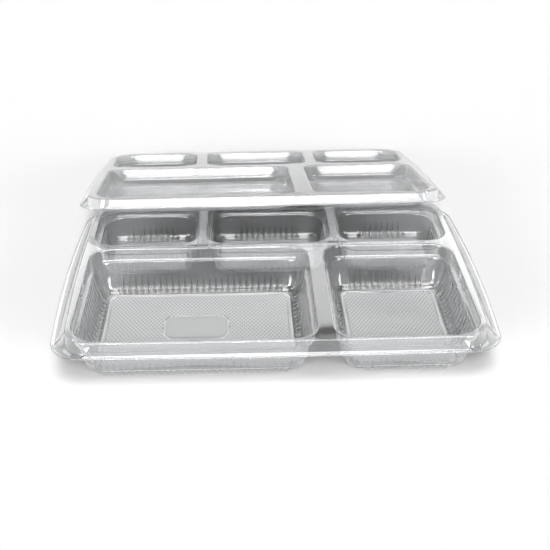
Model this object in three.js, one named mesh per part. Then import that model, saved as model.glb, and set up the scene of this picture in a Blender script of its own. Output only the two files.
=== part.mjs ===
// Clear five-well meal tray with its lid taken off and leant against the tray's rear rim.
// Each half is one thin sheet of clear plastic, vacuum formed. Millimetres, +Z up.
// The origin lies under the tray's middle, on the surface that the tray stands on.

import * as THREE from 'three';

// Sheet and tray
const SHEET = 0.5;
const TRAY_WIDTH = 265;
const TRAY_DEPTH = 190;
const TRAY_HEIGHT = 29.5;

// Rim of the tray, from the lip inwards: lip, sloping apron, flared skirt, ridge
const LIP_WIDTH = 2;
const LIP_DROP = 7.8;
const LIP_RADIUS = 20;
const LIP_BOW_SIDE = 2.5;
const LIP_BOW_END = 1.2;
const APRON_SIDE = 4.9;
const APRON_END = 3;
const SKIRT_DROP = 6.6;
const SKIRT_FLARE_SIDE = 4.4;
const SKIRT_FLARE_END = 1.6;
const RIDGE_SIDE = 4.2;
const RIDGE_END = 2.4;
const RIDGE_RADIUS = 18;
const RIDGE_BOW_SIDE = 1.6;
const RIDGE_BOW_END = 0.6;
const EDGE_ROUND = 0.8;

// Layout of the wells
const FRONT_ROW_DEPTH = 110;
const FRONT_LEFT_WIDTH = 143;
const REAR_LEFT_WIDTH = 70.8;
const REAR_MIDDLE_WIDTH = 84.2;
const ROW_RIDGE = 4.6;
const FRONT_RIDGE = 8.4;
const REAR_RIDGE = 4.5;
const OUTER_CORNER = 19;
const INNER_CORNER = 14;

// Side of a well, from the ridge down: smooth band, ledge, wall, foot, floor
const BAND_DEPTH = 8;
const BAND_DRAFT = 0.7;
const LEDGE_WIDTH = 1.4;
const LEDGE_DROP = 0.5;
const WALL_DRAFT = 5.1;
const REAR_WALL_DRAFT = 1.8;
const REAR_FLOOR_LIFT = 3;
const FOOT_RISE = 3;
const FOOT_RUN = 2;
const CORNER_TIGHTENING = 0.35;
const CORNER_SHARE = 0.48;

// Lid, which goes over the tray's rim and plugs into its wells
const LID_GAP = 0.3;
const PLUG_GAP = 0.5;
const LID_BRIM = 1;
const CELL_INSET = 1.2;
const CELL_STEP = 3;
const CELL_STEP_RUN = 3.5;

// How the lid leans: its rear cells on the ground and their undersides on the tray's rear ridge
const LEAN_ANGLE = 13;
const LEAN_TURN = 1;
const LEAN_SHIFT = -6.4;
const REST_GAP = 0.3;

// Facets of each corner and of each bowed side
const CORNER_FACETS = 7;
const BOW_FACETS = 6;

// Half sizes of the rim's outlines, each derived from the one outside it
const lipHalf = { x: TRAY_WIDTH / 2, y: TRAY_DEPTH / 2 };
const skirtHalf = { x: lipHalf.x - APRON_SIDE, y: lipHalf.y - APRON_END };
const ridgeHalf = { x: skirtHalf.x - SKIRT_FLARE_SIDE, y: skirtHalf.y - SKIRT_FLARE_END };
const fieldHalf = { x: ridgeHalf.x - RIDGE_SIDE, y: ridgeHalf.y - RIDGE_END };

// Heights of a well's ledge, below the ridge, and the ledge's inner edge, in from the ridge
const ledgeInset = EDGE_ROUND + BAND_DRAFT + LEDGE_WIDTH;
const ledgeDepth = BAND_DEPTH + LEDGE_DROP;

// A rectangle with round corners and sides that bow outwards, counter-clockwise from its right side.
// radii and bow are the corner radii, as { rightRear, leftRear, leftFront, rightFront }, and how far
// the middle of a side stands out from its ends, as { x, y }.
function outline(low, high, radii, bow) {
  const points = [];
  const middle = { x: (low.x + high.x) / 2, y: (low.y + high.y) / 2 };
  const corners = [
    [high.x - bow.x, high.y - bow.y, -1, -1, radii.rightRear],
    [low.x + bow.x, high.y - bow.y, 1, -1, radii.leftRear],
    [low.x + bow.x, low.y + bow.y, 1, 1, radii.leftFront],
    [high.x - bow.x, low.y + bow.y, -1, 1, radii.rightFront],
  ];
  corners.forEach(([x, y, inX, inY, radius], turn) => {
    const centre = new THREE.Vector2(x + inX * radius, y + inY * radius);
    for (let step = 0; step <= CORNER_FACETS; step += 1) {
      const angle = (turn + step / CORNER_FACETS) * Math.PI / 2;
      const spoke = new THREE.Vector2(Math.cos(angle), Math.sin(angle));
      points.push(spoke.multiplyScalar(radius).add(centre));
    }
    const start = points[points.length - 1];
    const [nextX, nextY, nextInX, nextInY, nextRadius] = corners[(turn + 1) % corners.length];
    const alongX = turn % 2 === 0;
    const end = alongX
      ? new THREE.Vector2(nextX + nextInX * nextRadius, nextY)
      : new THREE.Vector2(nextX, nextY + nextInY * nextRadius);
    const reach = alongX ? bow.y * Math.sign(start.y - middle.y) : bow.x * Math.sign(start.x - middle.x);
    for (let step = 1; reach !== 0 && step < BOW_FACETS; step += 1) {
      const along = step / BOW_FACETS;
      const point = start.clone().lerp(end, along);
      const stand = reach * 4 * along * (1 - along);
      points.push(alongX ? point.setY(point.y + stand) : point.setX(point.x + stand));
    }
  });
  return points;
}

// An outline centred on the tray, for the rim's rings.
function rimOutline(half, radius, bow) {
  const radii = { rightRear: radius, leftRear: radius, leftFront: radius, rightFront: radius };
  return outline({ x: -half.x, y: -half.y }, half, radii, bow);
}

// The outline of a well, moved in from its top edge by inset. Its corners tighten on the way in, and
// none takes more than CORNER_SHARE of the shorter side, so that every side keeps a straight middle.
function wellOutline(well, inset) {
  const low = { x: well.low.x + inset, y: well.low.y + inset };
  const high = { x: well.high.x - inset, y: well.high.y - inset };
  const roundest = CORNER_SHARE * Math.min(high.x - low.x, high.y - low.y);
  const radii = {};
  for (const [corner, radius] of Object.entries(well.radii)) {
    radii[corner] = Math.min(radius - CORNER_TIGHTENING * inset, roundest);
  }
  return outline(low, high, radii, { x: 0, y: 0 });
}

// The five wells. A corner on the outside of the field has the larger radius. The tray stands on the front
// wells; the rear wells are shallower, and their walls are steeper.
function layOutWells() {
  const frontEnd = -fieldHalf.y + FRONT_ROW_DEPTH;
  const frontSplit = -fieldHalf.x + FRONT_LEFT_WIDTH;
  const rearSplit = -fieldHalf.x + REAR_LEFT_WIDTH;
  const middleEnd = rearSplit + REAR_RIDGE + REAR_MIDDLE_WIDTH;
  const rearStart = frontEnd + ROW_RIDGE;
  const spans = [
    [-fieldHalf.x, -fieldHalf.y, frontSplit, frontEnd],
    [frontSplit + FRONT_RIDGE, -fieldHalf.y, fieldHalf.x, frontEnd],
    [-fieldHalf.x, rearStart, rearSplit, fieldHalf.y],
    [rearSplit + REAR_RIDGE, rearStart, middleEnd, fieldHalf.y],
    [middleEnd + REAR_RIDGE, rearStart, fieldHalf.x, fieldHalf.y],
  ];
  return spans.map(([lowX, lowY, highX, highY]) => {
    const isOuter = (x, y) => Math.abs(x) === fieldHalf.x && Math.abs(y) === fieldHalf.y;
    const radius = (x, y) => (isOuter(x, y) ? OUTER_CORNER : INNER_CORNER);
    const inRear = lowY === rearStart;
    return {
      wallDraft: inRear ? REAR_WALL_DRAFT : WALL_DRAFT,
      floorHeight: inRear ? SHEET + REAR_FLOOR_LIFT : SHEET,
      low: { x: lowX, y: lowY },
      high: { x: highX, y: highY },
      radii: {
        rightRear: radius(highX, highY),
        leftRear: radius(lowX, highY),
        leftFront: radius(lowX, lowY),
        rightFront: radius(highX, lowY),
      },
    };
  });
}

// The upper face of a formed sheet: rings of points joined by strips and flat plates.
class FormedSheet {
  constructor() {
    this.points = [];
    this.faces = [];
    this.edge = [];
  }

  ring(points, height) {
    return points.map(({ x, y }) => this.points.push(new THREE.Vector3(x, y, height)) - 1);
  }

  // Joins two rings of as many points. The strip faces up when the first ring lies outside the second.
  strip(outside, inside) {
    outside.forEach((point, index) => {
      const next = (index + 1) % outside.length;
      this.faces.push([point, outside[next], inside[next]], [point, inside[next], inside[index]]);
    });
  }

  // Joins a row of rings, from the outermost to the innermost.
  strips(rings) {
    for (let index = 1; index < rings.length; index += 1) {
      this.strip(rings[index - 1], rings[index]);
    }
  }

  // Fills the flat area inside one ring and outside others.
  plate(contour, holes = []) {
    const flat = (ring) => ring.map((index) => new THREE.Vector2(this.points[index].x, this.points[index].y));
    const order = [contour, ...holes].flat();
    for (const corners of THREE.ShapeUtils.triangulateShape(flat(contour), holes.map(flat))) {
      const [a, b, c] = corners.map((corner) => order[corner]);
      const turn = THREE.ShapeUtils.area(flat([a, b, c]));
      this.faces.push(turn > 0 ? [a, b, c] : [a, c, b]);
    }
  }

  // For each point, the move that puts it under every face around it by the same thickness.
  movesDown(thickness) {
    const sums = this.points.map(() => ({ normals: new Array(9).fill(0), total: new THREE.Vector3() }));
    for (const face of this.faces) {
      const [a, b, c] = face.map((index) => this.points[index]);
      const normal = new THREE.Triangle(a, b, c).getNormal(new THREE.Vector3());
      const parts = normal.toArray();
      for (const index of face) {
        sums[index].total.add(normal);
        sums[index].normals.forEach((value, cell) => {
          sums[index].normals[cell] = value + parts[Math.floor(cell / 3)] * parts[cell % 3];
        });
      }
    }
    const alongSheet = 1e-9;
    const onDiagonal = (cell) => cell % 4 === 0;
    return sums.map(({ normals, total }) => {
      const filled = normals.map((value, cell) => (onDiagonal(cell) ? value + alongSheet : value));
      const inverse = new THREE.Matrix3().fromArray(filled).invert();
      return total.multiplyScalar(-thickness).applyMatrix3(inverse);
    });
  }

  // The sheet at its full thickness, as one closed body.
  thicken(thickness) {
    const count = this.points.length;
    const under = this.movesDown(thickness).map((move, index) => move.add(this.points[index]));
    const faces = [...this.faces, ...this.faces.map(([a, b, c]) => [a + count, c + count, b + count])];
    this.edge.forEach((point, index) => {
      const next = this.edge[(index + 1) % this.edge.length];
      faces.push([next, point, point + count], [next, point + count, next + count]);
    });
    const geometry = new THREE.BufferGeometry().setFromPoints([...this.points, ...under]);
    geometry.setIndex(faces.flat());
    geometry.computeVertexNormals();
    return geometry;
  }
}

const wells = layOutWells();
const lipBow = { x: LIP_BOW_SIDE, y: LIP_BOW_END };
const ridgeBow = { x: RIDGE_BOW_SIDE, y: RIDGE_BOW_END };
const grown = (half, by) => ({ x: half.x + by, y: half.y + by });

// The tray: lip, apron, skirt and ridge from the outside in, then a well through each hole in the ridge.
function trayGeometry() {
  const sheet = new FormedSheet();
  const lipHeight = TRAY_HEIGHT - LIP_DROP;
  const lip = sheet.ring(rimOutline(lipHalf, LIP_RADIUS, lipBow), lipHeight);
  const apron = sheet.ring(rimOutline(grown(lipHalf, -LIP_WIDTH), LIP_RADIUS - LIP_WIDTH, lipBow), lipHeight);
  const skirt = sheet.ring(rimOutline(skirtHalf, RIDGE_RADIUS, ridgeBow), TRAY_HEIGHT - SKIRT_DROP);
  const shoulder = sheet.ring(rimOutline(ridgeHalf, RIDGE_RADIUS, ridgeBow), TRAY_HEIGHT - EDGE_ROUND);
  const ridge = sheet.ring(
    rimOutline(grown(ridgeHalf, -EDGE_ROUND), RIDGE_RADIUS - EDGE_ROUND, ridgeBow),
    TRAY_HEIGHT,
  );
  sheet.edge = lip;
  sheet.strips([lip, apron, skirt, shoulder, ridge]);
  const mouths = wells.map((well) => {
    const level = (inset, height) => sheet.ring(wellOutline(well, inset), height);
    const footInset = ledgeInset + well.wallDraft;
    const mouth = level(0, TRAY_HEIGHT);
    const band = level(EDGE_ROUND, TRAY_HEIGHT - EDGE_ROUND);
    const bandFoot = level(EDGE_ROUND + BAND_DRAFT, TRAY_HEIGHT - BAND_DEPTH);
    const ledge = level(ledgeInset, TRAY_HEIGHT - ledgeDepth);
    const foot = level(footInset, well.floorHeight + FOOT_RISE);
    const floor = level(footInset + FOOT_RUN, well.floorHeight);
    sheet.strips([mouth, band, bandFoot, ledge, foot, floor]);
    sheet.plate(floor);
    return mouth;
  });
  sheet.plate(ridge, mouths);
  return sheet.thicken(SHEET);
}

// The lid, closed over the tray's rim in plan, with the underside of its brim at height 0.
const lidOffset = SHEET + LID_GAP;
const lidSkirt = SKIRT_DROP - LID_GAP;
const crestHeight = SHEET + lidSkirt;
const cellWallInset = ledgeInset + PLUG_GAP + SHEET;
const cellDepth = BAND_DEPTH + CELL_STEP;
const brimHalf = grown(skirtHalf, lidOffset + LID_BRIM);

function lidGeometry() {
  const sheet = new FormedSheet();
  const radius = RIDGE_RADIUS + lidOffset;
  const brim = sheet.ring(rimOutline(brimHalf, radius + LID_BRIM, ridgeBow), SHEET);
  const skirt = sheet.ring(rimOutline(grown(skirtHalf, lidOffset), radius, ridgeBow), SHEET);
  const shoulder = sheet.ring(
    rimOutline(grown(ridgeHalf, lidOffset), radius, ridgeBow),
    crestHeight - EDGE_ROUND,
  );
  const crest = sheet.ring(
    rimOutline(grown(ridgeHalf, lidOffset - EDGE_ROUND), radius - EDGE_ROUND, ridgeBow),
    crestHeight,
  );
  sheet.edge = brim;
  sheet.strips([brim, skirt, shoulder, crest]);
  const mouths = wells.map((well) => {
    const level = (inset, depth) => sheet.ring(wellOutline(well, inset), crestHeight - depth);
    const mouth = level(CELL_INSET, 0);
    const wall = level(CELL_INSET + EDGE_ROUND, EDGE_ROUND);
    const wallFoot = level(cellWallInset, BAND_DEPTH);
    const floor = level(cellWallInset + CELL_STEP_RUN, cellDepth);
    sheet.strips([mouth, wall, wallFoot, floor]);
    sheet.plate(floor);
    return mouth;
  });
  sheet.plate(crest, mouths);
  return sheet.thicken(SHEET);
}

// How far the cells hang below the lid's brim, and how far their rear lower edge lies in from the brim's.
const cellsBelowBrim = cellDepth + SHEET - crestHeight;
const cellMitre = SHEET * Math.tan(Math.atan2(CELL_STEP, CELL_STEP_RUN) / 2);
const cellsFromBrim = brimHalf.y - fieldHalf.y + cellWallInset + CELL_STEP_RUN - cellMitre;

// How high the brim's rear edge is held by the rear cells, which stand on the ground.
function leanLift(lean) {
  return Math.max(0, cellsBelowBrim * Math.cos(lean) - cellsFromBrim * Math.sin(lean));
}

// How far to the rear the brim's rear edge lies, so that the undersides of the cells clear the rear edge
// of the tray's ridge by REST_GAP.
function leanDistance(lean, turn) {
  const ridgeEdge = ridgeHalf.y - EDGE_ROUND;
  const turned = ridgeHalf.x * Math.abs(Math.sin(turn));
  const rise = (TRAY_HEIGHT - leanLift(lean)) * Math.cos(lean) + cellsBelowBrim + REST_GAP;
  return ridgeEdge + (rise / Math.sin(lean) + turned) / Math.cos(turn);
}

const clearPlastic = (color) => new THREE.MeshStandardMaterial({
  color,
  roughness: 0.12,
  metalness: 0,
  transparent: true,
  opacity: 0.4,
});

const tray = new THREE.Mesh(trayGeometry(), clearPlastic(0xc9cdd2));
tray.name = 'tray';

const lid = new THREE.Mesh(lidGeometry(), clearPlastic(0xd6dade));
lid.name = 'lid';
lid.position.y = -brimHalf.y;

const lean = THREE.MathUtils.degToRad(LEAN_ANGLE);
const turn = THREE.MathUtils.degToRad(LEAN_TURN);

const leaningLid = new THREE.Group();
leaningLid.rotation.x = -lean;
leaningLid.add(lid);

const placedLid = new THREE.Group();
placedLid.rotation.z = turn;
placedLid.position.set(LEAN_SHIFT, leanDistance(lean, turn), leanLift(lean));
placedLid.add(leaningLid);

const compartmentPlate = new THREE.Group();
compartmentPlate.name = 'compartment_plate';
compartmentPlate.add(tray, placedLid);

export default compartmentPlate;
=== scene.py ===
"""Clear five-well meal tray, with its lid taken off and leant against the tray's rear rim."""

import math
from collections import namedtuple

import bpy
from mathutils import Matrix, Vector
from mathutils.geometry import delaunay_2d_cdt


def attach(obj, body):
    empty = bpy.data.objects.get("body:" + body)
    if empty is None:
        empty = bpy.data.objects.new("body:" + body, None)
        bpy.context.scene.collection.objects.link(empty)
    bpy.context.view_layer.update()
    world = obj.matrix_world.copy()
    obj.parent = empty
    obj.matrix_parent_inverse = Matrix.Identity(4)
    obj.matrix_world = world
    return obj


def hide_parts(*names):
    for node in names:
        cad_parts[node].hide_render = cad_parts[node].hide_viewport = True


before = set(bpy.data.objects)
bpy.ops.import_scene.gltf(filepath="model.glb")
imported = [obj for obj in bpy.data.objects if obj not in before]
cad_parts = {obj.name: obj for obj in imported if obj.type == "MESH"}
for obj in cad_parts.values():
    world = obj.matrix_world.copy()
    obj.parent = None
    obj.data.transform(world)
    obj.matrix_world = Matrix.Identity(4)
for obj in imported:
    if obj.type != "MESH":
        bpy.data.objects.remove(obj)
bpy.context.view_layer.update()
scene = bpy.context.scene


# Tray
# One sheet of clear plastic, half a millimetre thick, drawn by vacuum into five wells. The ridge
# round the wells carries a flared skirt and a narrow lip, which the skirt leaves bare at the
# corners. The walls are fluted to stiffen them, and the floors are cross hatched.

# Sizes are in millimetres. A half size is from the tray's middle to the right and to the rear.
MM = 0.001
SHEET = 0.5

TRAY_HEIGHT = 29.5
LIP_HALF = (132.5, 95.0)
LIP_WIDTH = 2.0
LIP_HEIGHT = 21.7
LIP_RADIUS = 20.0
LIP_BOW = (2.5, 1.2)
LIP_ROLL = 0.3
LIP_ROLL_WIDTH = 0.25
LIP_FILLET = 0.3
SKIRT_HALF = (127.6, 92.0)
SKIRT_HEIGHT = 22.9
RIDGE_HALF = (123.2, 90.4)
RIDGE_RADIUS = 18.0
RIDGE_BOW = (1.6, 0.6)
EDGE_ROUND = 0.8
NOTCH_HALF = (124.4, 91.0)

# Each well: its low and high corners in plan, the flutes along its front and rear and along its
# sides, how much of the front wells' draft its walls have, how far its floor is lifted, and how
# frosted the floor is between the ridges of its hatching.
Well = namedtuple("Well", "low high flutes_across flutes_along draft lift frost")
WELLS = {
    "front left": Well((-119.0, -88.0), (24.0, 22.0), 27, 15, 1.0, 0.0, 0.28),
    "front right": Well((32.4, -88.0), (119.0, 22.0), 12, 15, 1.0, 0.0, 0.12),
    "rear left": Well((-119.0, 26.6), (-48.2, 88.0), 9, 5, 0.35, 3.0, 1.0),
    "rear middle": Well((-43.7, 26.6), (40.5, 88.0), 11, 5, 0.35, 3.0, 1.0),
    "rear right": Well((45.0, 26.6), (119.0, 88.0), 8, 5, 0.35, 3.0, 1.0),
}
FIELD_HALF = (119.0, 88.0)
OUTER_CORNER = 19.0
INNER_CORNER = 14.0
FOOT_CORNER = 7.0
FLUTE_PITCH_ACROSS = 4.05
FLUTE_PITCH_ALONG = 4.8
FLUTE_POINTS = 8
PLAIN_LEAST = 0.4
LEDGE_INSET = 3.7
LEDGE_HEIGHT = 20.4
FOOT_INSET = 7.6

# A point on the upper face of a sheet: where it is, in millimetres, how many flutes lie before it
# on its side, which way and how far a flute swells there, how frosted the sheet is, whether it is
# hatched, and whether it is the cut edge, which is painted dark as shade.
Spot = namedtuple(
    "Spot", "place flute swell frost hatch edge", defaults=(0.0, (0.0, 0.0, 0.0), 0.0, 0.0, 0.0)
)


class FormedSheet:
    """The upper face of a formed sheet: closed rings of spots, joined by strips and flat plates."""

    KEEP_INSIDE = 1
    SAME_PLACE = 1e-6

    def __init__(self):
        self.spots = []
        self.faces = []

    def ring(self, spots):
        start = len(self.spots)
        self.spots.extend(spots)
        return list(range(start, len(self.spots)))

    def strip(self, outside, inside):
        """Joins two rings of as many spots."""
        for here in range(len(outside)):
            after = (here + 1) % len(outside)
            self.faces.append((outside[here], outside[after], inside[after], inside[here]))

    def strips(self, rings):
        for outside, inside in zip(rings, rings[1:]):
            self.strip(outside, inside)

    def fan(self, coarse, fine, starts, coarse_outside):
        """Joins a coarse ring to a fine one. Starts says which fine spot faces each coarse one."""
        def face(*corners):
            self.faces.append(corners if coarse_outside else corners[::-1])

        for index, start in enumerate(starts):
            last = index + 1 == len(starts)
            stop = len(fine) if last else starts[index + 1]
            here, after = coarse[index], coarse[0 if last else index + 1]
            run = [fine[place % len(fine)] for place in range(start, stop + 1)]
            middle = (len(run) - 1) // 2
            face(here, after, run[middle])
            for place in range(len(run) - 1):
                face(here if place < middle else after, run[place + 1], run[place])

    def plate(self, contour, holes=(), inner=(), lines=()):
        """Fills the area inside one ring and outside others, through inner spots and their lines."""
        loops = [contour, *holes]
        order = [spot for loop in loops for spot in loop]
        owner = [number for number, loop in enumerate(loops) for _ in loop]
        edges = []
        for loop in loops:
            first = len(edges)
            edges += [(first + here, first + (here + 1) % len(loop)) for here in range(len(loop))]
        edges += [(len(order) + start, len(order) + end) for start, end in lines]
        order += inner
        owner += [0] * len(inner)
        flat = [Vector(self.spots[spot].place[:2]) for spot in order]
        triangles = delaunay_2d_cdt(flat, edges, [], self.KEEP_INSIDE, self.SAME_PLACE)[2]
        for corners in triangles:
            owners = {owner[corner] for corner in corners}
            if owners == {0} or len(owners) > 1:
                a, b, c = (flat[corner] for corner in corners)
                upwards = (b - a).cross(c - a) > 0
                turned = corners if upwards else corners[::-1]
                self.faces.append(tuple(order[corner] for corner in turned))

    def mesh(self, name, place=Matrix.Identity(4)):
        """The face as a mesh in metres, moved to its place, with its spots' values as attributes."""
        mesh = bpy.data.meshes.new(name)
        mesh.from_pydata([Vector(spot.place) * MM for spot in self.spots], [], self.faces)
        for quality in ("flute", "frost", "hatch", "edge"):
            layer = mesh.attributes.new(quality, "FLOAT", "POINT")
            layer.data.foreach_set("value", [getattr(spot, quality) for spot in self.spots])
        swell = mesh.attributes.new("swell", "FLOAT_VECTOR", "POINT")
        swell.data.foreach_set("vector", [part * MM for spot in self.spots for part in spot.swell])
        mesh.transform(place)
        mesh.update()
        return mesh


# Angles round a corner of the rim, from its side to its end: before the notch, in it and after it.
SIDE_ANGLES = (0.0, 5.0, 10.0, 13.0, 14.0)
NOTCH_ANGLES = (20.0, 21.0, 27.0, 34.0, 41.0, 48.0, 55.0, 62.0, 69.0, 74.0, 75.0)
END_ANGLES = (88.4, 89.0, 90.0)
SIDE_STEPS = 24
# Which way each side faces, counter-clockwise from the rear one, which follows the first corner.
OUTWARDS = ((0, 1), (-1, 0), (0, -1), (1, 0))


def rim_ring(half, radius, bow, height, notched_half=None, notched_height=None, edge=0.0):
    """Spots round the rim, counter-clockwise from the right. The sides bow out in their middle.
    In its notches the ring stands at the notched half size and height, where these are given."""
    notched_half = notched_half or half
    notched_height = height if notched_height is None else notched_height

    def on_arc(turn, degrees, size):
        to_right = 1 if turn in (0, 3) else -1
        to_rear = 1 if turn in (0, 1) else -1
        angle = math.radians(90 * turn + degrees)
        return Vector((
            to_right * (size[0] - bow[0] - radius) + radius * math.cos(angle),
            to_rear * (size[1] - bow[1] - radius) + radius * math.sin(angle),
        ))

    angles = [(angle, False) for angle in SIDE_ANGLES]
    angles += [(angle, True) for angle in NOTCH_ANGLES]
    angles += [(angle, False) for angle in END_ANGLES]
    mirrored_angles = [(90 - angle, notched) for angle, notched in angles[::-1]]
    spots = []
    for turn in range(4):
        for angle, notched in mirrored_angles if turn % 2 else angles:
            place = on_arc(turn, angle, notched_half if notched else half)
            spots.append(Spot((*place, notched_height if notched else height), edge=edge))
        outwards = Vector(OUTWARDS[turn])
        reach = abs(outwards.dot(Vector(bow)))
        start, end = on_arc(turn, 90, half), on_arc((turn + 1) % 4, 0, half)
        for step in range(1, SIDE_STEPS):
            share = step / SIDE_STEPS
            place = start.lerp(end, share) + outwards * reach * 4 * share * (1 - share)
            spots.append(Spot((*place, height), edge=edge))
    return spots


def between(first, second, share):
    """The half size that lies this share of the way from the first to the second."""
    return tuple(a + (b - a) * share for a, b in zip(first, second))


def grown(half, by, by_end=None):
    """A half size made larger all round, or by another length at its front and rear."""
    return (half[0] + by, half[1] + (by if by_end is None else by_end))


# Rings of the skirt, from the lip up: half size and height, then both again for the notches.
SKIRT_RISE = TRAY_HEIGHT - EDGE_ROUND - SKIRT_HEIGHT
SKIRT = [
    (
        grown(SKIRT_HALF, 0.5, 0.2), SKIRT_HEIGHT - 0.15,
        grown(NOTCH_HALF, 0.8, 0.4), LIP_HEIGHT,
    ),
    (
        grown(SKIRT_HALF, 0.1), SKIRT_HEIGHT + 0.15,
        grown(NOTCH_HALF, 0.3, 0.15), LIP_HEIGHT + 0.15,
    ),
    (
        between(SKIRT_HALF, RIDGE_HALF, 0.08), SKIRT_HEIGHT + 0.12 * SKIRT_RISE,
        NOTCH_HALF, LIP_HEIGHT + 0.6,
    ),
    (
        between(SKIRT_HALF, RIDGE_HALF, 0.9), SKIRT_HEIGHT + 0.9 * SKIRT_RISE,
        between(NOTCH_HALF, RIDGE_HALF, 0.9), SKIRT_HEIGHT + 0.9 * SKIRT_RISE,
    ),
]
# Rings over the round outer edge of a ridge: how far in and how far down from its top.
SHOULDER = [
    (0.0, EDGE_ROUND),
    (0.11, 0.4),
    (0.4, 0.11),
    (EDGE_ROUND, 0.0),
    (EDGE_ROUND + 0.3, 0.0),
]


def shoulder(half, radius, height):
    """Rings over the round outer edge of a ridge of this size and height, up to its flat top."""
    return [
        rim_ring(grown(half, -inset), radius - inset, RIDGE_BOW, height - drop)
        for inset, drop in SHOULDER
    ]


# How close the spots of a ring lie: in the corners alone, also at each flute's ends, or all along
# the flutes.
SPARSE, COARSE, FINE = range(3)


class WellPlan:
    """Where the spots of a well's rings lie: round its corners, and along its fluted sides."""

    CORNER_STEPS = 10
    MARGIN_STEPS = 3

    def __init__(self, well):
        self.low, self.high = well.low, well.high
        self.draft, self.lift = well.draft, well.lift
        self.stations = []
        self.levels = []
        for turn in range(4):
            count = well.flutes_along if turn % 2 else well.flutes_across
            for step in range(self.CORNER_STEPS + 1):
                self.add(SPARSE, "corner", turn, step / self.CORNER_STEPS)
            for step in range(1, self.MARGIN_STEPS):
                self.add(COARSE, "before", turn, step / self.MARGIN_STEPS)
            for step in range(count * FLUTE_POINTS + 1):
                flutes = step / FLUTE_POINTS
                level = COARSE if step % FLUTE_POINTS == 0 else FINE
                self.add(level, "flute", turn, flutes / count, flutes)
            for step in range(1, self.MARGIN_STEPS):
                self.add(COARSE, "after", turn, step / self.MARGIN_STEPS)
        self.reach = (
            well.flutes_across * FLUTE_PITCH_ACROSS / 2,
            well.flutes_along * FLUTE_PITCH_ALONG / 2,
        )

    def add(self, level, kind, turn, share, flutes=0.0):
        self.levels.append(level)
        self.stations.append((kind, turn, share, flutes))

    def facing(self, coarser, finer):
        """For each spot of a coarser ring, the number of the spot that it faces on a finer ring."""
        kept = [level for level in self.levels if level <= finer]
        return [number for number, level in enumerate(kept) if level <= coarser]

    def corner_radius(self, turn):
        x = self.high[0] if turn in (0, 3) else self.low[0]
        y = self.high[1] if turn in (0, 1) else self.low[1]
        outer = abs(x) == FIELD_HALF[0] and abs(y) == FIELD_HALF[1]
        return OUTER_CORNER if outer else INNER_CORNER

    def spots(self, inset, height, tighter, level, depth=0.0, slope=(1.0, 0.0), hatch=0.0):
        """The ring that lies inset from the well's top edge. Its corners are as tight as tighter
        says, from 0 at the top to 1 at the foot. A flute swells by depth, outwards and upwards as
        slope gives."""
        middle = Vector(((self.low[0] + self.high[0]) / 2, (self.low[1] + self.high[1]) / 2))
        if height < LEDGE_HEIGHT and inset > LEDGE_INSET:
            wall, foot = min(inset, FOOT_INSET) - LEDGE_INSET, max(inset - FOOT_INSET, 0.0)
            inset = LEDGE_INSET + wall * self.draft + foot
            height += self.lift * (LEDGE_HEIGHT - height) / LEDGE_HEIGHT

        def on_arc(turn, share):
            top_radius = self.corner_radius(turn)
            radius = top_radius + (FOOT_CORNER - top_radius) * tighter
            x = self.high[0] - inset - radius if turn in (0, 3) else self.low[0] + inset + radius
            y = self.high[1] - inset - radius if turn in (0, 1) else self.low[1] + inset + radius
            angle = (turn + share) * math.pi / 2
            return Vector((x + radius * math.cos(angle), y + radius * math.sin(angle)))

        spots = []
        for (kind, turn, share, flutes), station_level in zip(self.stations, self.levels):
            if station_level > level:
                continue
            outwards = Vector(OUTWARDS[turn])
            forwards = Vector((-outwards.y, outwards.x))
            start, end = on_arc(turn, 1), on_arc((turn + 1) % 4, 0)
            centre = (middle - start).dot(forwards)
            first = max(centre - self.reach[turn % 2], PLAIN_LEAST)
            last = min(centre + self.reach[turn % 2], (end - start).length - PLAIN_LEAST)
            if kind == "corner":
                place = on_arc(turn, share)
            elif kind == "before":
                place = start + forwards * first * share
            elif kind == "after":
                place = end.lerp(start + forwards * last, 1 - share)
            else:
                place = start + forwards * (first + (last - first) * share)
            swell = (0.0, 0.0, 0.0)
            if kind == "flute":
                swell = (*(outwards * slope[0] * depth), slope[1] * depth)
            spots.append(Spot((*place, height), flutes, swell, frost=hatch, hatch=hatch))
        return spots


MOUTH_ROUND = 1.2
MOUTH_STEPS = 5
MOUTH_SPREAD = 0.25
MOUTH_FLAT = 0.2
MOUTH_WIDER = -0.02
MOUTH_TIGHTER = 0.05


def mouth_ring(plan, inset, height):
    """The ring on a flat ridge, just outside the round edge of the hollow within it."""
    return plan.spots(inset - MOUTH_SPREAD - MOUTH_FLAT, height, MOUTH_WIDER, SPARSE)


def mouth_edge(plan, inset, height, level):
    """Rings over the round edge between a flat ridge and the hollow inside it."""
    rings = []
    for step in range(MOUTH_STEPS + 1):
        angle = math.pi / 2 * step / MOUTH_STEPS
        run = MOUTH_ROUND * math.sin(angle) - MOUTH_SPREAD
        drop = MOUTH_ROUND * (1 - math.cos(angle))
        tighter = MOUTH_TIGHTER * step / MOUTH_STEPS
        rings.append(plan.spots(inset + run, height - drop, tighter, level))
    return rings


# Rings of a well below its round top edge: inset, height and how tight the corners are.
BAND_AND_LEDGE = [
    (1.4, 22.4, 0.1),
    (1.5, 21.95, 0.12),
    (1.75, 21.7, 0.14),
    (2.3, 21.6, 0.17),
    (2.9, 21.5, 0.2),
    (3.3, 21.35, 0.22),
    (3.5, 21.0, 0.25),
]
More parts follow.
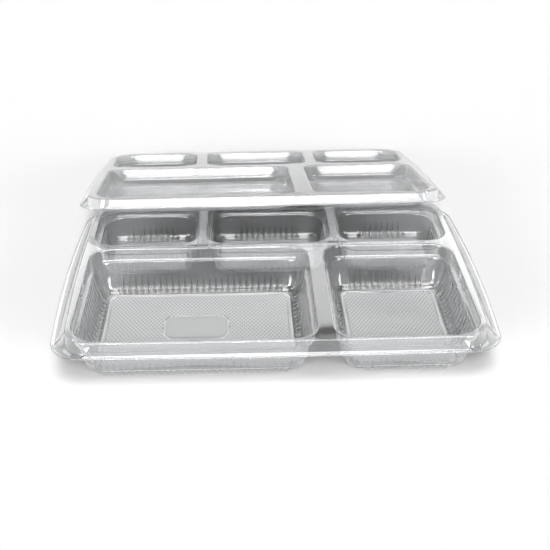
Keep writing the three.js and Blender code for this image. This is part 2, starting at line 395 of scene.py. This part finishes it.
# Rings of the fluted wall and its foot: as above, then the flutes' depth and the way they swell.
FLUTED_WALL = [
    (3.7, 20.4, 0.27, 0.0, (0.96, -0.28)),
    (3.95, 19.4, 0.33, 0.55, (0.96, -0.28)),
    (5.1, 14.5, 0.5, 0.8, (0.96, -0.28)),
    (6.4, 9.8, 0.72, 1.0, (0.96, -0.28)),
    (7.1, 7.6, 0.82, 1.15, (0.96, -0.28)),
    (7.6, 6.0, 0.88, 1.45, (0.94, -0.34)),
    (8.1, 4.6, 0.94, 1.6, (0.86, -0.5)),
    (8.6, 3.4, 0.98, 1.65, (0.72, -0.69)),
    (9.2, 2.5, 1.0, 1.5, (0.5, -0.87)),
    (9.9, 1.9, 1.0, 1.1, (0.27, -0.96)),
    (10.6, 1.35, 1.0, 0.6, (0.1, -0.99)),
    (11.2, 1.0, 1.0, 0.0, (0.0, -1.0)),
]
# Rings of the step up to the floor panel: as above, and how far they are hatched.
PANEL_STEP = [
    (11.4, 1.0, 1.03, 0.0),
    (11.75, 1.2, 1.06, 0.0),
    (12.1, 1.4, 1.09, 0.0),
    (12.4, 1.45, 1.12, 0.0),
    (12.8, 1.45, 1.15, 1.0),
]
# A plain pad in the largest floor, raised a little, which the hatching keeps clear of.
PAD_WELL = "front left"
PAD_LOW = (-68.0, -44.0)
PAD_HIGH = (-29.5, -19.0)
PAD_RADIUS = 7.0
PAD_RISE = 0.35
PAD_STEPS = 9
PAD_FROST = 0.6
PAD_GUARD = 0.8
# Rings of the pad's edge: inset, rise and how far they are hatched.
PAD_EDGE = [
    (0.0, 0.0, 1.0),
    (0.1, 0.0, 0.0),
    (0.7, PAD_RISE, 0.0),
    (1.1, PAD_RISE, 0.0),
]


def pad_ring(inset, height, hatch):
    spots = []
    for turn in range(4):
        x = PAD_HIGH[0] - PAD_RADIUS if turn in (0, 3) else PAD_LOW[0] + PAD_RADIUS
        y = PAD_HIGH[1] - PAD_RADIUS if turn in (0, 1) else PAD_LOW[1] + PAD_RADIUS
        for step in range(PAD_STEPS + 1):
            angle = (turn + step / PAD_STEPS) * math.pi / 2
            reach = PAD_RADIUS - inset
            place = (x + reach * math.cos(angle), y + reach * math.sin(angle), height)
            spots.append(Spot(place, frost=max(hatch, PAD_FROST), hatch=hatch))
    return spots


# The hatching of the floors: two crossing rows of fine ridges, with a shallow pit between them.
HATCH_ACROSS = 1.25
HATCH_ALONG = 2.0
HATCH_RISE = 0.22
HATCH_MARGIN = 1.2


def inside_round(x, y, low, high, radius):
    """Whether a place lies in a rectangle with round corners."""
    across = max(low[0] + radius - x, x - high[0] + radius, 0.0)
    along = max(low[1] + radius - y, y - high[1] + radius, 0.0)
    return math.hypot(across, along) < radius


def hatching(low, high, height, pit_frost, is_clear):
    """Spots on the ridges' crossings and in the pits over a rectangle, and the ridges by the pairs
    of spots that they join."""
    numbers, spots, lines = {}, [], []
    for column in range(int((high[0] - low[0]) / HATCH_ACROSS) + 1):
        for row in range(int((high[1] - low[1]) / HATCH_ALONG) + 1):
            x, y = low[0] + column * HATCH_ACROSS, low[1] + row * HATCH_ALONG
            if is_clear(x, y):
                crossing = (column + row) % 2 == 0
                numbers[column, row] = len(spots)
                frost = 1.0 if crossing else pit_frost
                spots.append(Spot((x, y, height + HATCH_RISE * crossing), frost=frost, hatch=1.0))
    for (column, row), number in numbers.items():
        if (column + row) % 2 == 0:
            ends = [(column + 1, row + 1), (column + 1, row - 1)]
            lines += [(number, numbers[end]) for end in ends if end in numbers]
    return spots, lines


def tray_sheet():
    sheet = FormedSheet()

    def lip_ring(inset, drop=0.0, edge=0.0):
        half, radius = grown(LIP_HALF, -inset), LIP_RADIUS - inset
        return sheet.ring(rim_ring(half, radius, LIP_BOW, LIP_HEIGHT - drop, edge=edge))

    rim = [
        lip_ring(0.0, LIP_ROLL, edge=1.0),
        lip_ring(LIP_ROLL_WIDTH),
        lip_ring(LIP_WIDTH - LIP_FILLET),
        lip_ring(LIP_WIDTH),
    ]
    rim += [
        sheet.ring(rim_ring(half, RIDGE_RADIUS, RIDGE_BOW, height, notched_half, notched_height))
        for half, height, notched_half, notched_height in SKIRT
    ]
    rim += [sheet.ring(spots) for spots in shoulder(RIDGE_HALF, RIDGE_RADIUS, TRAY_HEIGHT)]
    sheet.strips(rim)
    mouths = []
    for name, well in WELLS.items():
        plan = WellPlan(well)
        mouth = sheet.ring(mouth_ring(plan, 0.0, TRAY_HEIGHT))
        upper = [sheet.ring(spots) for spots in mouth_edge(plan, 0.0, TRAY_HEIGHT, COARSE)]
        upper += [
            sheet.ring(plan.spots(inset, height, tighter, COARSE))
            for inset, height, tighter in BAND_AND_LEDGE
        ]
        walls = [
            sheet.ring(plan.spots(inset, height, tighter, FINE, depth, slope))
            for inset, height, tighter, depth, slope in FLUTED_WALL
        ]
        steps = [
            sheet.ring(plan.spots(inset, height, tighter, SPARSE, hatch=hatch))
            for inset, height, tighter, hatch in PANEL_STEP
        ]
        sheet.fan(mouth, upper[0], plan.facing(SPARSE, COARSE), coarse_outside=True)
        sheet.strips(upper)
        sheet.fan(upper[-1], walls[0], plan.facing(COARSE, FINE), coarse_outside=True)
        sheet.strips(walls)
        sheet.fan(steps[0], walls[-1], plan.facing(SPARSE, FINE), coarse_outside=False)
        sheet.strips(steps)
        panel = [sheet.spots[spot].place for spot in steps[-1]]
        floor = panel[0][2]
        low = [min(place[axis] for place in panel) + HATCH_MARGIN for axis in (0, 1)]
        high = [max(place[axis] for place in panel) - HATCH_MARGIN for axis in (0, 1)]
        has_pad = name == PAD_WELL

        def is_clear(x, y):
            guard = grown(PAD_LOW, -PAD_GUARD), grown(PAD_HIGH, PAD_GUARD)
            on_pad = has_pad and inside_round(x, y, *guard, PAD_RADIUS)
            return inside_round(x, y, low, high, FOOT_CORNER) and not on_pad

        holes = []
        if has_pad:
            pad = [
                sheet.ring(pad_ring(inset, floor + rise, hatch))
                for inset, rise, hatch in PAD_EDGE
            ]
            sheet.strips(pad)
            sheet.plate(pad[-1])
            holes = [pad[0]]
        spots, lines = hatching(low, high, floor, well.frost, is_clear)
        sheet.plate(steps[-1], holes, sheet.ring(spots), lines)
        mouths.append(mouth)
    sheet.plate(rim[-1], mouths)
    return sheet


class Wire:
    """A socket that other nodes read. Arithmetic on wires adds Math nodes to their tree."""

    def __init__(self, maker, socket):
        self.maker, self.socket = maker, socket

    def output(self, name):
        """Another output of the node that this wire comes from."""
        return Wire(self.maker, self.socket.node.outputs[name])

    def maths(self, operation, *values):
        return self.maker.add("ShaderNodeMath", {"operation": operation}, dict(enumerate(values)))

    def __add__(self, other):
        return self.maths("ADD", self, other)

    def __sub__(self, other):
        return self.maths("SUBTRACT", self, other)

    def __rsub__(self, other):
        return self.maths("SUBTRACT", other, self)

    def __mul__(self, other):
        return self.maths("MULTIPLY", self, other)

    def __pow__(self, other):
        return self.maths("POWER", self, other)

    def __rpow__(self, other):
        return self.maths("POWER", other, self)

    __radd__ = __add__
    __rmul__ = __mul__


class NodeMaker:
    """Adds nodes to a tree: a node's settings first, then the values or wires of its sockets."""

    def __init__(self, tree):
        self.tree = tree

    def add(self, kind, settings=None, sockets=None, output=0):
        node = self.tree.nodes.new(kind)
        for name, value in (settings or {}).items():
            setattr(node, name, value)
        for name, value in (sockets or {}).items():
            if isinstance(value, Wire):
                self.tree.links.new(value.socket, node.inputs[name])
            else:
                node.inputs[name].default_value = value
        return Wire(self, node.outputs[output]) if len(node.outputs) else None


def bare_nodes(owner):
    """What adds nodes to a material or a world, with nothing in its tree yet."""
    owner.use_nodes = True
    owner.node_tree.nodes.clear()
    return NodeMaker(owner.node_tree)


# The plastic: its tint where the sheet is thick and where it is thin, a painted shade on its cut
# edge in place of the dark line that a clear edge shows, the colour and share of its frosting, and
# how it bends and scatters light.
CLEAR_TINT = ((0.92, 0.93, 0.945, 1.0), (0.97, 0.975, 0.985, 1.0))
EDGE_PAINTED_SHADE = (0.2, 0.21, 0.22, 1.0)
FROST_COLOUR = (0.93, 0.94, 0.95, 1.0)
FROST = 0.7
PLASTIC_IOR = 1.5
SHINE_IOR = 1.55
SMOOTH_ROUGHNESS = 0.01
SCUFF_ROUGHNESS = 0.04
RIPPLE_HEIGHT = 0.00006
SCUFFS = {"Scale": 420.0, "Detail": 4.0, "Roughness": 0.6}
RIPPLES = {"Scale": 55.0, "Detail": 1.0}
DRAW_MARKS = {"Scale": 18.0, "Detail": 2.0}


def clear_plastic(name, shine_roughness, milkiness):
    """Clear glossy sheet: a faint grey tint, ripples from the forming and fine scuffs. It is a
    little milky all over, and more where the sheet is frosted."""
    material = bpy.data.materials.new(name)
    maker = bare_nodes(material)
    place = maker.add("ShaderNodeTexCoord", output="Object")
    scuffs = maker.add("ShaderNodeTexNoise", sockets={"Vector": place, **SCUFFS})
    ripples = maker.add("ShaderNodeTexNoise", sockets={"Vector": place, **RIPPLES})
    drawn = maker.add("ShaderNodeTexNoise", sockets={"Vector": place, **DRAW_MARKS})
    bump = maker.add(
        "ShaderNodeBump",
        sockets={"Strength": 1.0, "Distance": 1.0, "Height": ripples * RIPPLE_HEIGHT},
        output="Normal",
    )

    def mixed_tint(factor, first, second):
        return maker.add(
            "ShaderNodeMix", {"data_type": "RGBA"},
            {"Factor": factor, "A": first, "B": second}, output="Result",
        )

    # The cut edge gets painted shade: a dark colour in place of the dark line that a clear edge
    # shows.
    edge = maker.add("ShaderNodeAttribute", {"attribute_name": "edge"}, output="Fac")
    clear = maker.add("ShaderNodeBsdfPrincipled", sockets={
        "Base Color": mixed_tint(edge, mixed_tint(drawn, *CLEAR_TINT), EDGE_PAINTED_SHADE),
        "Roughness": SMOOTH_ROUGHNESS + SCUFF_ROUGHNESS * scuffs,
        "Normal": bump,
        "Transmission Weight": 1.0,
        "IOR": PLASTIC_IOR,
        "Coat Weight": 1.0,
        "Coat Roughness": shine_roughness,
        "Coat IOR": SHINE_IOR,
    })
    frost = maker.add("ShaderNodeAttribute", {"attribute_name": "frost"}, output="Fac")
    haze = maker.add("ShaderNodeBsdfDiffuse", sockets={"Color": FROST_COLOUR})
    hazy = milkiness + (FROST - milkiness) * frost
    surface = maker.add("ShaderNodeMixShader", sockets={0: hazy, 1: clear, 2: haze})
    maker.add("ShaderNodeOutputMaterial", sockets={"Surface": surface})
    return material


SCALLOP_POWER = 0.75
FULLY_HATCHED = 0.95
FLUTE_DEPTH = 1.0


def fluting():
    """Geometry nodes that swell each flute outwards in a round scallop, with a crest between
    neighbours. All but the hatched floors is shaded smooth."""
    tree = bpy.data.node_groups.new("fluting", "GeometryNodeTree")
    tree.interface.new_socket("Geometry", in_out="INPUT", socket_type="NodeSocketGeometry")
    tree.interface.new_socket("Flute depth", in_out="INPUT", socket_type="NodeSocketFloat")
    tree.interface.new_socket("Sheet", in_out="INPUT", socket_type="NodeSocketMaterial")
    tree.interface.new_socket("Geometry", in_out="OUTPUT", socket_type="NodeSocketGeometry")
    maker = NodeMaker(tree)
    face = maker.add("NodeGroupInput")

    def named(name, kind="FLOAT"):
        return maker.add("GeometryNodeInputNamedAttribute", {"data_type": kind}, {"Name": name})

    along = maker.add("ShaderNodeMath", {"operation": "FRACT"}, {0: named("flute")})
    from_crest = 2 * along - 1
    scallop = (1 - from_crest * from_crest) ** SCALLOP_POWER
    offset = maker.add(
        "ShaderNodeVectorMath", {"operation": "SCALE"},
        {0: named("swell", "FLOAT_VECTOR"), "Scale": scallop * face.output("Flute depth")},
    )
    moved = maker.add("GeometryNodeSetPosition", sockets={"Geometry": face, "Offset": offset})
    plain = maker.add(
        "ShaderNodeMath", {"operation": "LESS_THAN"}, {0: named("hatch"), 1: FULLY_HATCHED}
    )
    smooth = maker.add(
        "GeometryNodeSetShadeSmooth", sockets={"Geometry": moved, "Selection": plain}
    )
    whole = maker.add("GeometryNodeRealizeInstances", sockets={"Geometry": smooth})
    finished = maker.add(
        "GeometryNodeSetMaterial", sockets={"Geometry": whole, "Material": face.output("Sheet")}
    )
    maker.add("NodeGroupOutput", sockets={"Geometry": finished})
    return tree


flutes = fluting()


def formed_piece(name, mesh, plastic):
    """A formed sheet at its full thickness, which rides on the body of its name in place of the
    CAD node. The mesh is its upper face, so the thickness goes below it."""
    blank = bpy.data.objects.new(name + "_blank", mesh)
    scene.collection.objects.link(blank)
    shaping = blank.modifiers.new("flutes", "NODES")
    shaping.node_group = flutes
    inputs = [item for item in flutes.interface.items_tree if item.in_out == "INPUT"]
    sockets = {item.name: item.identifier for item in inputs}
    shaping[sockets["Flute depth"]] = FLUTE_DEPTH
    shaping[sockets["Sheet"]] = plastic
    wall = blank.modifiers.new("thickness", "SOLIDIFY")
    wall.thickness = SHEET * MM
    wall.offset = -1.0
    bpy.context.view_layer.update()
    shaped = blank.evaluated_get(bpy.context.evaluated_depsgraph_get())
    formed = bpy.data.meshes.new_from_object(shaped)
    bpy.data.objects.remove(blank)
    formed.name = name
    piece = bpy.data.objects.new(name + "_sheet", formed)
    scene.collection.objects.link(piece)
    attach(piece, name)
    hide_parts(name)


TRAY_SHINE_ROUGHNESS = 0.03
TRAY_MILKINESS = 0.05
tray_plastic = clear_plastic("tray_plastic", TRAY_SHINE_ROUGHNESS, TRAY_MILKINESS)
formed_piece("tray", tray_sheet().mesh("tray_face"), tray_plastic)


# Lid
# The same clear sheet, drawn into a skirt that goes over the tray's ridge and five shallow cells
# that plug into its wells. It is off the tray: its rear cells stand on the ground, and it lies on
# the tray's rear ridge.
LID_STAND = 0.8
LID_BRIM = 1.0
BRIM_ROLL = 0.15
BRIM_ROLL_WIDTH = 0.2
LID_CREST = 6.8
LID_RISE = LID_CREST - EDGE_ROUND - SHEET
# Rings of the lid's skirt: how far along from its foot to its top, and how high above the brim.
LID_SKIRT = [
    (-0.08, 0.0),
    (0.02, 0.2),
    (0.12, 0.12 * LID_RISE),
    (0.9, 0.9 * LID_RISE),
]
CELL_INSET = 1.2
# Rings of a cell below its round top edge: inset, depth below the crest, how tight the corners are.
CELL_WALL = [
    (3.75, 7.4, 0.12),
    (3.95, 8.0, 0.14),
    (4.4, 8.5, 0.17),
    (6.9, 10.7, 0.27),
    (7.4, 11.0, 0.3),
    (8.0, 11.0, 0.33),
]
LEAN_DISTANCE = 234.623
LEAN_LIFT = 1.652
LEAN_SHIFT = -6.4
LEAN_TURN = math.radians(1.0)
LEAN_ANGLE = math.radians(13.0)


def lid_sheet():
    sheet = FormedSheet()
    foot = grown(SKIRT_HALF, LID_STAND)
    top = grown(RIDGE_HALF, LID_STAND)
    notch = grown(NOTCH_HALF, LID_STAND)
    radius = RIDGE_RADIUS + LID_STAND

    def brim_ring(out, drop=0.0, edge=0.0):
        half = grown(foot, out)
        return sheet.ring(rim_ring(half, radius + out, RIDGE_BOW, SHEET - drop, edge=edge))

    def skirt_ring(share, lift):
        half, notched_half = between(foot, top, share), between(notch, top, share)
        return sheet.ring(rim_ring(half, radius, RIDGE_BOW, SHEET + lift, notched_half))

    rim = [brim_ring(LID_BRIM, BRIM_ROLL, edge=1.0), brim_ring(LID_BRIM - BRIM_ROLL_WIDTH)]
    rim += [skirt_ring(share, lift) for share, lift in LID_SKIRT]
    rim += [sheet.ring(spots) for spots in shoulder(top, radius, LID_CREST)]
    sheet.strips(rim)
    mouths = []
    for well in WELLS.values():
        plan = WellPlan(well._replace(draft=1.0, lift=0.0))
        mouth = sheet.ring(mouth_ring(plan, CELL_INSET, LID_CREST))
        rings = [mouth]
        rings += [sheet.ring(spots) for spots in mouth_edge(plan, CELL_INSET, LID_CREST, SPARSE)]
        rings += [
            sheet.ring(plan.spots(inset, LID_CREST - depth, tighter, SPARSE))
            for inset, depth, tighter in CELL_WALL
        ]
        sheet.strips(rings)
        sheet.plate(rings[-1])
        mouths.append(mouth)
    sheet.plate(rim[-1], mouths)
    return sheet


lid_place = (
    Matrix.Translation(Vector((LEAN_SHIFT, LEAN_DISTANCE, LEAN_LIFT)) * MM)
    @ Matrix.Rotation(LEAN_TURN, 4, "Z")
    @ Matrix.Rotation(-LEAN_ANGLE, 4, "X")
    @ Matrix.Translation(Vector((0.0, -(SKIRT_HALF[1] + LID_STAND + LID_BRIM), 0.0)) * MM)
)
LID_SHINE_ROUGHNESS = 0.12
LID_MILKINESS = 0.2
lid_plastic = clear_plastic("lid_plastic", LID_SHINE_ROUGHNESS, LID_MILKINESS)
formed_piece("lid", lid_sheet().mesh("lid_face", lid_place), lid_plastic)


# Floor
# A plain white table top, just under the tray's feet, which keeps the object's shadow.
FLOOR_HALF = 4.0
FLOOR_DROP = 0.0002
FLOOR_WHITE = (0.94, 0.94, 0.94, 1.0)
floor_mesh = bpy.data.meshes.new("floor")
floor_corners = ((-1, -1), (1, -1), (1, 1), (-1, 1))
floor_mesh.from_pydata(
    [(x * FLOOR_HALF, y * FLOOR_HALF, -FLOOR_DROP) for x, y in floor_corners],
    [], [(0, 1, 2, 3)],
)
floor = bpy.data.objects.new("floor", floor_mesh)
scene.collection.objects.link(floor)
floor_paint = bpy.data.materials.new("floor_paint")
maker = bare_nodes(floor_paint)
paint = maker.add("ShaderNodeBsdfDiffuse", sockets={"Color": FLOOR_WHITE})
maker.add("ShaderNodeOutputMaterial", sockets={"Surface": paint})
floor_mesh.materials.append(floor_paint)


# Light
# A dim room with two bright windows low in front. A low white backdrop stands all round, which the
# camera sees in full, also through the clear sheets, and their gloss shows in part. Two broad lamps
# light the object, and the panels and the small lamps only show in its gloss.
ROOM_COLOUR = (1.0, 1.0, 1.0, 1.0)
ROOM_LEVEL = 0.05
# Heights are the upward part of a direction of length one. The windows lie where a direction goes
# sideways by more than the near and less than the far share of how far it goes to the front.
BACKDROP_HEAD = 0.3
BACKDROP_FADE = 0.45
BACKDROP_MIRRORED = 0.25
WINDOW_LEVEL = 16.0
WINDOW_NEAR = 0.6
WINDOW_FAR = 1.3
WINDOW_FOOT = -0.1
WINDOW_HEAD = 0.35
BROAD_SPREAD = math.radians(30.0)
world = bpy.data.worlds.new("room")
scene.world = world
maker = bare_nodes(world)
direction = maker.add("ShaderNodeTexCoord", output="Generated")
split = maker.add("ShaderNodeSeparateXYZ", sockets={"Vector": direction})
side = maker.add("ShaderNodeMath", {"operation": "ABSOLUTE"}, {0: split})
front = 0.0 - split.output("Y")
height = split.output("Z")


def above(value, limit):
    return maker.add("ShaderNodeMath", {"operation": "GREATER_THAN"}, {0: value, 1: limit})


window = above(side, front * WINDOW_NEAR) * above(front * WINDOW_FAR, side)
window = window * above(height, WINDOW_FOOT) * above(WINDOW_HEAD, height)
backdrop = maker.add(
    "ShaderNodeMapRange", {"interpolation_type": "SMOOTHSTEP"},
    {
        "Value": height,
        "From Min": BACKDROP_HEAD, "From Max": BACKDROP_FADE,
        "To Min": 1.0, "To Max": 0.0,
    },
)
ray = maker.add("ShaderNodeLightPath", output="Is Camera Ray")
seen = ray + ray.output("Is Transmission Ray") + ray.output("Is Glossy Ray") * BACKDROP_MIRRORED
level = ROOM_LEVEL + seen * backdrop + window * WINDOW_LEVEL
room = maker.add("ShaderNodeBackground", sockets={"Color": ROOM_COLOUR, "Strength": level})
maker.add("ShaderNodeOutputWorld", sockets={"Surface": room})


def place_lamp(name, lamp, place, only_mirrored):
    """Aims a lamp at the origin. It lights the object, or else it only shows in its gloss."""
    holder = bpy.data.objects.new(name, lamp)
    holder.location = place
    holder.rotation_euler = (-Vector(place)).to_track_quat("-Z", "Y").to_euler()
    holder.visible_diffuse = not only_mirrored
    holder.visible_glossy = only_mirrored
    scene.collection.objects.link(holder)


def broad_lamp(name, place, strength):
    lamp = bpy.data.lights.new(name, "SUN")
    lamp.energy = strength
    lamp.angle = BROAD_SPREAD
    place_lamp(name, lamp, place, only_mirrored=False)


def mirrored_panel(name, place, size, watts):
    lamp = bpy.data.lights.new(name, "AREA")
    lamp.shape = "RECTANGLE"
    lamp.size, lamp.size_y = size
    lamp.energy = watts
    place_lamp(name, lamp, place, only_mirrored=True)


broad_lamp("high_lamp", (0.0, -0.5, 1.2), 1.65)
broad_lamp("key_lamp", (0.0, -1.2, 0.9), 1.6)
mirrored_panel("ceiling_panel", (0.0, -0.1, 1.4), (1.4, 0.6), 14.0)
mirrored_panel("front_panel", (0.0, -1.2, 0.7), (1.6, 0.4), 8.0)
mirrored_panel("front_glint", (0.0, -0.8, 1.2), (0.1, 0.1), 3.0)
mirrored_panel("left_glint", (-1.2, 0.0, 0.9), (0.15, 0.15), 8.0)
mirrored_panel("right_glint", (1.2, 0.0, 0.9), (0.15, 0.15), 8.0)
mirrored_panel("rear_panel", (0.0, 1.3, 0.75), (2.2, 0.3), 4.0)
mirrored_panel("high_rear_panel", (0.0, 1.2, 1.25), (2.4, 0.3), 4.0)
# No lamp shines through the clear sheets, so the ground under them stays in their shade.
scene.cycles.caustics_refractive = False


# Camera
# At the photograph's place and angle, worked out from the tray's own straight edges.
CAMERA_PLACE = (-0.017609, -0.534431, 0.328340)
CAMERA_DIP = math.radians(29.965)
CAMERA_TURN = math.radians(-2.046)
FOCAL_PIXELS = 956.45
FRAME_PIXELS = 550
SENSOR_WIDTH = 36.0
camera = bpy.data.cameras.new("camera")
camera.sensor_width = SENSOR_WIDTH
camera.lens = FOCAL_PIXELS / FRAME_PIXELS * SENSOR_WIDTH
camera_holder = bpy.data.objects.new("camera", camera)
camera_holder.location = CAMERA_PLACE
camera_holder.rotation_euler = (math.pi / 2 - CAMERA_DIP, 0.0, CAMERA_TURN)
scene.collection.objects.link(camera_holder)
scene.camera = camera_holder
scene.view_settings.view_transform = "Standard"
